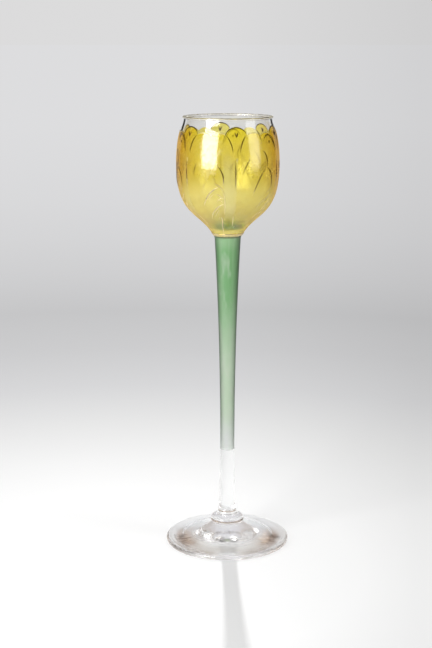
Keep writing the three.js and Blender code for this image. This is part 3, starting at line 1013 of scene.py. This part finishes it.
def blown_glass(name, shadow, rub=polished, ripples=even_ripple, line=None):
    """Clear glass with faint ripples, and a darker line where a function gives one, such as the painted shade
    on the edge of the bowl's wall.
    """
    material, tree = new_material(name)
    coordinates = object_coordinates(tree)
    scuffs = ranged(tree, noise(tree, coordinates, 900, 4), 0.45, 0.8, 0.0, 0.03)
    surface = shader(tree, "Principled", {
        "Base Color": shade("clear"), "IOR": 1.5, "Transmission Weight": 1.0,
        "Roughness": maths(tree, "ADD", rub(tree, coordinates), scuffs),
        "Normal": bump(tree, ripples(tree, coordinates), 0.25, 0.0004),
    })
    if line:
        share, tint = line(tree, coordinates)
        surface = mixed(tree, share, surface, shader(tree, "Transparent", {"Color": tint}))
    finish_material(tree, let_lamps_through(tree, surface, shadow(tree, coordinates)))
    return material


@made_once
def unbending(name, tint, mottle, scale, start, most):
    """A face that is melted to the next piece, so that light crosses it unbent, with a faint mottle."""
    material, tree = new_material(name)
    share = ranged(tree, noise(tree, object_coordinates(tree), scale), start, 0.8, 0, most)
    finish_material(tree, shader(tree, "Transparent", {"Color": blended(tree, share, tint, mottle)}))
    return material


def clear_joint():
    return unbending("clear_joint", WHITE, *JOINT_MOTTLE)


# A painted refraction on the face between stem and bowl: the stem's green seen through the bottom.
def green_joint():
    return unbending("green_joint", JOINT_PAINTED_STEM_GREEN, *JOINT_MOTTLE)


def film_back():
    """The side of an enamel film that is fused to the glass."""
    return unbending("film_back", WHITE, *FILM_MOTTLE)


# Enamel

def from_seam(tree, coordinates):
    """Bearing from the nearest seam between two outer petals, half a pitch to each side."""
    towards_front = maths(tree, "MULTIPLY", along(tree, coordinates, "Y"), -1.0)
    bearing = maths(tree, "ARCTAN2", along(tree, coordinates, "X"), towards_front)
    off_seam = maths(tree, "SUBTRACT", bearing, bpy.context.scene.petal_sizes.front_bearing)
    return node(tree, "ShaderNodeMath", {
        0: off_seam, 1: PETAL_PITCH / 2, 2: -PETAL_PITCH / 2,
    }, operation="WRAP").outputs[0]


def enamel_body(tree, tint, milkiness, thinness):
    """A coloured film: partly milky, and partly clear with the tint of a thinner film."""
    thin_tint = node(tree, "ShaderNodeGamma", {"Color": tint, "Gamma": thinness}).outputs[0]
    see = shader(tree, "Transparent", {"Color": thin_tint})
    matt = shader(tree, "Diffuse", {"Color": tint})
    glow = shader(tree, "Translucent", {"Color": tint})
    return mixed(tree, milkiness, see, mixed(tree, MILK_GLOW, matt, glow))


def glossed(tree, body, mirror, roughness, brush):
    """A film with the gloss of fired enamel over it."""
    gloss = shader(tree, "Glossy", {"Color": WHITE, "Roughness": roughness, "Normal": brush})
    return mixed(tree, mirror_share(tree, *mirror), body, gloss)


def yellow_enamel():
    """Transparent yellow, amber edge on, paler below, ochre at the ring, with soft upright streaks."""
    material, tree = new_material("yellow_enamel")
    coordinates = object_coordinates(tree)
    level = along(tree, coordinates, "Z")
    streaks = noise(tree, stretched(tree, coordinates, (1, 1, 0.12)), 260, roughness=0.6)
    specks = noise(tree, coordinates, 1300, 2, 0.6)
    wavy = wandering(tree, level, noise(tree, coordinates, 120), 24 * MM)
    pale = up_bowl(tree, wavy, 35, 20)
    near_ring = product(tree, up_bowl(tree, wavy, 20, 5), up_bowl(tree, level, 1.5, 4))
    # Painted refraction: near the bottom, seen head on, the yellow turns to the green that the stem shows
    # through the bowl's base.
    painted_stem_through_base = product(
        tree,
        up_bowl(tree, level, 9.5, 5),
        up_bowl(tree, level, 2, 4),
        ranged(tree, facing(tree), 0.60, 0.40, 0, 0.85),
    )
    seam = from_seam(tree, coordinates)
    seam_haze = product(
        tree,
        ranged(tree, seam, math.radians(-18), math.radians(-12)),
        ranged(tree, seam, math.radians(2), math.radians(-4)),
        up_bowl(tree, level, 5, 12),
        up_bowl(tree, level, 39, 30),
        HAZE_SHARE,
    )
    tint = layered(
        tree, shade("yellow"),
        (pale, shade("straw")),
        (up_bowl(tree, level, 40, 45, 0, 0.9), shade("tips")),
        (near_ring, shade("ochre")),
        (painted_stem_through_base, shade("painted_base_green")),
        (ranged(tree, streaks, 0.48, 0.75, 0, 0.4), YELLOW_STREAKS),
        (ranged(tree, specks, 0.5, 0.72, 0, 0.35), YELLOW_SPECKS),
        (seam_haze, shade("haze")),
    )
    high = up_bowl(tree, level, 12, 32)
    low_edge = ranged(tree, facing(tree), 0.44, 0.92)
    high_edge = ranged(tree, facing(tree), 0.12, 0.65, smooth=False)
    edge_on = node(tree, "ShaderNodeMix", {0: high, 2: low_edge, 3: high_edge}).outputs[0]
    tint = blended(tree, edge_on, tint, blended(tree, high, shade("peach"), shade("amber")))
    milkiness = ranged(tree, maths(tree, "ADD", pale, streaks), 0.3, 1.6, 0.30, 0.48)
    body = enamel_body(tree, tint, milkiness, 0.33)
    grain = noise(tree, coordinates, 1500, roughness=0.6)
    brush = bump(tree, maths(tree, "ADD", streaks, grain), 0.25, 0.0001)
    rough = ranged(tree, noise(tree, coordinates, 700, roughness=0.6), 0.4, 0.65, 0.06, 0.24)
    finish_material(tree, glossed(tree, body, YELLOW_MIRROR, rough, brush))
    return material


def green_enamel():
    """Satin green that pales downwards, with long brush streaks, and edges that darken where seen edge on:
    partly the longer path through the enamel, partly painted shade for the dark surroundings that the rod
    bends into view.
    """
    material, tree = new_material("green_enamel")
    coordinates = object_coordinates(tree)
    height = along(tree, coordinates, "Z")
    streaks = noise(tree, stretched(tree, coordinates, (1, 1, 0.05)), 420, 4, 0.6)
    clouds = noise(tree, stretched(tree, coordinates, (1, 1, 0.4)), 140)
    blotches = noise(tree, stretched(tree, coordinates, (1, 1, 0.35)), 230, 2)
    level = wandering(tree, height, clouds, 30 * MM)
    tint = layered(
        tree, shade("green"),
        (ranged(tree, level, 125 * MM, 82 * MM), shade("mid_green")),
        (ranged(tree, level, 70 * MM, 42 * MM), shade("pale_green")),
        (ranged(tree, blotches, 0.5, 0.7, 0, 0.45), GREEN_BLOTCHES),
        (ranged(tree, streaks, 0.4, 0.75, 0, 0.25), GREEN_STREAKS),
        (up_bowl(tree, height, -8, -3, 0, 0.4), GREEN_UNDER_RING),
        (up_bowl(tree, height, -1.7, -1.1, 0, 0.8), GREEN_AGAINST_RING),
    )
    # Darker edge on: partly the longer path through the enamel, partly painted shade.
    edge_strength = ranged(tree, height, 34 * MM, 60 * MM, 0.4, 0.9)
    edge_on = product(tree, ranged(tree, facing(tree), 0.0, 0.8), edge_strength)
    tint = blended(tree, edge_on, tint, GREEN_EDGE_DEPTH_AND_SHADE)
    milkiness = ranged(tree, level, 140 * MM, 45 * MM, 0.85, 0.45, smooth=False)
    body = enamel_body(tree, tint, milkiness, 0.4)
    finish_material(tree, glossed(tree, body, GREEN_MIRROR, 0.38, bump(tree, streaks, 0.2, 0.0002)))
    return material


# Gold

def fired_gold(name, tint, roughness, bare_share):
    """Thin gold, softly worn: a share of it is rubbed through to the glass."""
    material, tree = new_material(name)
    wear = noise(tree, object_coordinates(tree), 500, 4, 0.6)
    metal = shader(tree, "Principled", {
        "Base Color": blended(tree, ranged(tree, wear, 0.3, 0.7, 0, 0.5), tint, PALE_GOLD),
        "Metallic": 1.0,
        "Roughness": ranged(tree, wear, 0.3, 0.75, roughness, 1.6 * roughness),
        "Normal": bump(tree, wear, 0.2, 0.00005),
    })
    least = max(0, bare_share - BARE_SPREAD)
    most = min(1, bare_share + BARE_SPREAD)
    bare = shader(tree, "Transparent", {"Color": BARE_GLASS})
    finish_material(tree, mixed(tree, ranged(tree, wear, 0.25, 0.75, least, most), metal, bare))
    return material


def line_gold(name, tint_above, middle):
    """Gold pen lines, which turn pale below a middle height above the joint, in millimetres: a painted
    reflection, dark where the lines would mirror the dim room and pale low down where they would mirror the
    bright floor.
    """
    material, tree = new_material(name)
    coordinates = object_coordinates(tree)
    wear = noise(tree, coordinates, 420, 4, 0.6)
    # The wear noise also shifts the height where the painted reflection turns pale.
    level = wandering(tree, along(tree, coordinates, "Z"), wear, 20 * MM)
    pale = up_bowl(tree, level, middle + 4.5, middle - 4.5)
    finish_material(tree, shader(tree, "Principled", {
        "Base Color": blended(tree, pale, tint_above, LINE_GOLD_PAINTED_LOW_REFLECTION),
        "Metallic": 1.0,
        "Roughness": ranged(tree, wear, 0.3, 0.7, 0.25, 0.45),
    }))
    return material


# Stage

def background_share(tree):
    """1 for rays that show the background: the camera's, and those mirrored or bent by glass and metal."""
    path = node(tree, "ShaderNodeLightPath")
    seen = maths(tree, "MAXIMUM", path.outputs["Is Camera Ray"], path.outputs["Is Glossy Ray"])
    return maths(tree, "MAXIMUM", seen, path.outputs["Is Transmission Ray"])


def off_backdrop(tree, direction):
    """0 towards the backdrop behind the glass, and 1 towards the room at its sides and in front."""
    ahead = maths(tree, "MAXIMUM", along(tree, direction, "Y"), 0.0001)
    across = maths(tree, "DIVIDE", maths(tree, "ABSOLUTE", along(tree, direction, "X")), ahead)
    return ranged(tree, across, *BACKDROP_SIDE)


def beside_glass(tree, stage, pale, off):
    """What is seen off the backdrop: a dim room in mirrors, and brown walls through glass."""
    path = node(tree, "ShaderNodeLightPath")
    return layered(
        tree, pale,
        (product(tree, off, path.outputs["Is Glossy Ray"]), tuple(stage.room)),
        (product(tree, off, path.outputs["Is Transmission Ray"]), tuple(stage.flag)),
    )


def dimmer_to_the_right(tree, stage, from_camera, tint):
    """Painted shade: the colour is made a little darker towards the right of the picture, where the light
    falls off.
    """
    across = along(tree, vector_maths(tree, "NORMALIZE", from_camera), "X")
    fall = ranged(tree, across, 0, PICTURE_SIDE, 0, stage.right_fall, smooth=False)
    return blended(tree, fall, tint, BLACK)


def painted_floor_pool(tree, coordinates):
    """The floor's painted pool of light: its grey changes with the distance from the middle of the pool."""
    distance = length_of(tree, vector_maths(tree, "SUBTRACT", coordinates, POOL_CENTRE))
    share = maths(tree, "DIVIDE", distance, maths(tree, "ADD", distance, SHADE_SOFTNESS))
    ramp = node(tree, "ShaderNodeValToRGB", {0: share})
    stops = ramp.color_ramp.elements
    while len(stops) < len(FLOOR_SHADES):
        stops.new(0.5)
    for stop, (reach, grey) in zip(stops, FLOOR_SHADES):
        blue = grey * COOL_BLUE if grey < COOL_BELOW else grey
        stop.position = reach / (reach + SHADE_SOFTNESS)
        stop.color = (grey, grey, blue, 1)
    return distance, ramp.outputs[0]


def floor_material(stage):
    """A painted pool of light: white round the glass, greyer at half a metre, pale beyond, and always with
    the shadow. Away from the glass the floor glows for the camera and for mirrored and bent rays instead of
    being lit.
    """
    material, tree = new_material("floor_sweep")
    coordinates = object_coordinates(tree)
    distance, pool_colour = painted_floor_pool(tree, coordinates)
    unlit = ranged(tree, distance, *LIT_FLOOR)
    off = maths(tree, "MULTIPLY", ranged(tree, distance, *BACKDROP_START), off_backdrop(tree, coordinates))
    from_camera = vector_maths(tree, "ADD", coordinates, (0, stage.camera_distance, 0))
    tint = beside_glass(tree, stage, dimmer_to_the_right(tree, stage, from_camera, pool_colour), off)
    lit = shader(tree, "Diffuse", {"Color": blended(tree, unlit, tint, BLACK)})
    glow = node(tree, "ShaderNodeEmission", {"Color": tint, "Strength": unlit}).outputs[0]
    seen = node(tree, "ShaderNodeAddShader", {0: lit, 1: glow}).outputs[0]
    light = shader(tree, "Diffuse", {"Color": pool_colour})
    finish_material(tree, mixed(tree, background_share(tree), light, seen))
    return material


def set_world(stage):
    """A pale backdrop, a dim room above it in glass and gold, and even light for all else."""
    world = bpy.data.worlds.new("studio")
    world.use_nodes = True
    tree = world.node_tree
    tree.nodes.clear()
    direction = node(tree, "ShaderNodeTexCoord").outputs["Generated"]
    rise = along(tree, direction, "Z")
    sideways = maths(tree, "ABSOLUTE", along(tree, direction, "X"))
    path = node(tree, "ShaderNodeLightPath")
    bent = blended(tree, ranged(tree, sideways, *WALL_START), tuple(stage.ceiling), tuple(stage.wall))
    above = blended(tree, path.outputs["Is Transmission Ray"], tuple(stage.room), bent)
    ahead = blended(tree, ranged(tree, rise, *BACKDROP_TOP), tuple(stage.far), above)
    off = maths(tree, "MULTIPLY", off_backdrop(tree, direction), ranged(tree, rise, *ROOM_TOP))
    room = beside_glass(tree, stage, ahead, off)
    far = dimmer_to_the_right(tree, stage, direction, tuple(stage.far))
    seen = blended(tree, path.outputs["Is Camera Ray"], room, far)
    backdrop = node(tree, "ShaderNodeBackground", {"Color": seen, "Strength": 1.0}).outputs[0]
    light = node(tree, "ShaderNodeBackground", {"Color": WHITE, "Strength": stage.even_light}).outputs[0]
    node(tree, "ShaderNodeOutputWorld", {"Surface": mixed(tree, background_share(tree), light, backdrop)})
    bpy.context.scene.world = world


def area_lamp(name, azimuth, elevation, distance, size, power, mirrored):
    """A lamp that faces the bowl. Azimuth is counted from the front towards the right."""
    lamp = bpy.data.lights.new(name, "AREA")
    lamp.shape = "RECTANGLE"
    lamp.size, lamp.size_y = size
    lamp.energy = power
    holder = bpy.data.objects.new(name, lamp)
    turn = math.radians(azimuth)
    rise = math.radians(elevation)
    away = Vector((math.sin(turn) * math.cos(rise), -math.cos(turn) * math.cos(rise), math.sin(rise)))
    holder.location = LAMP_TARGET + distance * away
    holder.rotation_euler = away.to_track_quat("Z", "Y").to_euler()
    holder.visible_glossy = mirrored
    holder.visible_transmission = mirrored
    bpy.context.scene.collection.objects.link(holder)


def set_camera(stage):
    camera = bpy.data.cameras.new("camera")
    camera.sensor_fit = "VERTICAL"
    camera.sensor_height = SENSOR_HEIGHT
    camera.lens = SENSOR_HEIGHT * stage.focal_pixels / IMAGE_HEIGHT
    camera.clip_end = 2 * FLOOR_RADIUS
    holder = bpy.data.objects.new("camera", camera)
    holder.location = (stage.camera_side, -stage.camera_distance, stage.camera_height)
    holder.rotation_euler = (math.pi / 2 - stage.camera_tilt, 0, 0)
    bpy.context.scene.collection.objects.link(holder)
    bpy.context.scene.camera = holder


def lay_floor(stage):
    disc = bmesh.new()
    bmesh.ops.create_circle(
        disc, cap_ends=True, radius=FLOOR_RADIUS, segments=FLOOR_SEGMENTS,
        matrix=Matrix.Translation((0, 0, -FLOOR_DROP)),
    )
    mesh = bpy.data.meshes.new("floor")
    disc.to_mesh(mesh)
    disc.free()
    mesh.materials.append(floor_material(stage))
    floor = bpy.data.objects.new("floor", mesh)
    bpy.context.scene.collection.objects.link(floor)


# Operators, one for each piece or group of like pieces

class GLASS_OT_foot(bpy.types.Operator):
    """Make the foot and the merese on it"""
    bl_idname = "glass.foot"
    bl_label = "Foot and merese"

    def execute(self, context):
        glass = blown_glass("foot_glass", painted_foot_shadow, ripples=turning_rings, line=seat_line_and_painted_streaks)
        foot = cleaned(turned(foot_profile(sizes_of("foot"))))
        mark_seam(foot, MERESE_LEVEL)
        place(foot, "glass_foot", "clear_glass", ["foot"], glass, clear_joint())
        merese = cleaned(turned(merese_profile(sizes_of("stem"))))
        mark_seam(merese, MERESE_LEVEL)
        mark_seam(merese, STEM_LEVEL)
        place(merese, "glass_merese", "clear_glass", ["merese"], glass, clear_joint())
        return {"FINISHED"}


class GLASS_OT_stem(bpy.types.Operator):
    """Make the glass rod of the stem and its green enamel"""
    bl_idname = "glass.stem"
    bl_label = "Stem"

    def execute(self, context):
        sizes = sizes_of("stem")
        stem = cleaned(turned(stem_profile(sizes)))
        mark_seam(stem, STEM_LEVEL)
        mark_seam(stem, BOWL_LEVEL, material=2)
        glass = blown_glass("stem_glass", even_shadow(STEM_SHADOW))
        place(stem, "glass_stem", "clear_glass", ["stem"], glass, clear_joint(), green_joint())
        sleeve = cleaned(turned(green_profile(sizes)))
        mark_back(sleeve)
        place(sleeve, "stem_enamel", "green_enamel", ["stem_green_enamel"], green_enamel(), film_back())
        return {"FINISHED"}


class GLASS_OT_bowl(bpy.types.Operator):
    """Make the blown bowl"""
    bl_idname = "glass.bowl"
    bl_label = "Bowl"

    def execute(self, context):
        bowl = cleaned(turned(bowl_profile(sizes_of("bowl"))))
        mark_inside(bowl, material=2)
        mark_seam(bowl, BOWL_LEVEL)
        outside = blown_glass("bowl_glass", even_shadow(BOWL_SHADOW), bowl_rub, line=painted_wall_edge)
        inside = blown_glass("bowl_inside_glass", even_shadow(BOWL_SHADOW), bowl_rub)
        place(bowl, "glass_bowl", "clear_glass", ["bowl"], outside, green_joint(), inside)
        return {"FINISHED"}


class GLASS_OT_gilding(bpy.types.Operator):
    """Make the gold on the lip and on the joint"""
    bl_idname = "glass.gilding"
    bl_label = "Gilding"

    def execute(self, context):
        sizes = sizes_of("bowl")
        lip = cleaned(turned(lip_gilding_profile(sizes)))
        lip_gold = fired_gold("lip_gold", shade("lip_gold"), roughness=0.42, bare_share=0.84)
        place(lip, "gilt_lip", "gilding", ["lip_gilding"], lip_gold)
        ring = cleaned(turned(joint_ring_profile(sizes)))
        ring_gold = fired_gold("ring_gold", shade("gold"), roughness=0.2, bare_share=0.12)
        place(ring, "gilt_ring", "gilding", ["joint_gilding"], ring_gold)
        return {"FINISHED"}


class GLASS_OT_petals(bpy.types.Operator):
    """Make the two rows of enamelled petals"""
    bl_idname = "glass.petals"
    bl_label = "Petals"

    def execute(self, context):
        shape = PetalShape()
        enamel = yellow_enamel()
        for i in range(PETALS_PER_ROW):
            tip = shape.sizes.front_bearing + PETAL_PITCH * i
            for name, outline, bearing, grid in (
                (f"inner_petal_{i + 1}", shape.inner, tip, INNER_PETAL_GRID),
                (f"outer_petal_{i + 1}", shape.outer, tip + PETAL_PITCH / 2, OUTER_PETAL_GRID),
            ):
                sheet = petal_sheet(shape, outline, bearing, *grid)
                place(sheet, f"{name}_enamel", "yellow_enamel", [name], enamel, film_back())
        return {"FINISHED"}


class GLASS_OT_lines(bpy.types.Operator):
    """Draw the gold contour lines on the petals"""
    bl_idname = "glass.lines"
    bl_label = "Contour lines"

    def execute(self, context):
        shape = PetalShape()
        # Painted reflection: these contour lines are dark high up and pale low down.
        brown = line_gold("line_gold", shade("line_gold"), middle=24.5)
        low_brown = line_gold("low_line_gold", shade("line_gold"), middle=20)
        pale = line_gold("pale_line_gold", shade("pale_line_gold"), middle=24.5)
        for i in range(PETALS_PER_ROW):
            tip = shape.sizes.front_bearing + PETAL_PITCH * i
            leaf = tip + PETAL_PITCH / 2
            leaf_lines, leaf_gold = (LEFT_LEAF_LINES, brown) if i % 2 else (RIGHT_LEAF_LINES, low_brown)
            for name, bearing, strokes, gold in (
                (f"tip_lines_{i + 1}", tip, TIP_LINES, brown),
                (f"leaf_lines_{i + 1}", leaf, leaf_lines, leaf_gold),
                (f"lobe_lines_{i + 1}", leaf, LOBE_LINES, pale),
            ):
                place(drawn_lines(name, shape, bearing, strokes), name, "gilding", [], gold)
        return {"FINISHED"}


class GLASS_OT_stage(bpy.types.Operator):
    """Set the floor, the lamps, the world and the camera"""
    bl_idname = "glass.stage"
    bl_label = "Stage"

    def execute(self, context):
        scene = context.scene
        lay_floor(scene.glass_stage)
        for lamp in LAMPS:
            area_lamp(*lamp)
        set_world(scene.glass_stage)
        set_camera(scene.glass_stage)
        scene.view_settings.view_transform = "Standard"
        for name, count in BOUNCES.items():
            setattr(scene.cycles, name, count)
        scene.cycles.caustics_reflective = False
        scene.cycles.caustics_refractive = False
        return {"FINISHED"}


OPERATORS = (
    GLASS_OT_foot, GLASS_OT_stem, GLASS_OT_bowl, GLASS_OT_gilding, GLASS_OT_petals, GLASS_OT_lines,
    GLASS_OT_stage,
)


class GLASS_PT_build(bpy.types.Panel):
    """The pieces of the glass, in the order in which they are made"""
    bl_label = "Liqueur glass"
    bl_idname = "GLASS_PT_build"
    bl_space_type = "VIEW_3D"
    bl_region_type = "UI"
    bl_category = "Glass"

    def draw(self, context):
        for operator in OPERATORS:
            self.layout.operator(operator.bl_idname)


GROUPS = {
    "foot_sizes": FootSizes,
    "stem_sizes": StemSizes,
    "bowl_sizes": BowlSizes,
    "petal_sizes": PetalSizes,
    "glass_colours": GlassColours,
    "glass_stage": StageSettings,
}
CLASSES = (*GROUPS.values(), *OPERATORS, GLASS_PT_build)


def register():
    for each in CLASSES:
        bpy.utils.register_class(each)
    for name, group in GROUPS.items():
        setattr(bpy.types.Scene, name, PointerProperty(type=group))


def unregister():
    for name in GROUPS:
        delattr(bpy.types.Scene, name)
    for each in reversed(CLASSES):
        bpy.utils.unregister_class(each)


def main():
    register()
    bpy.ops.glass.foot()
    bpy.ops.glass.stem()
    bpy.ops.glass.bowl()
    bpy.ops.glass.gilding()
    bpy.ops.glass.petals()
    bpy.ops.glass.lines()
    bpy.ops.glass.stage()


if __name__ == "__main__":
    main()
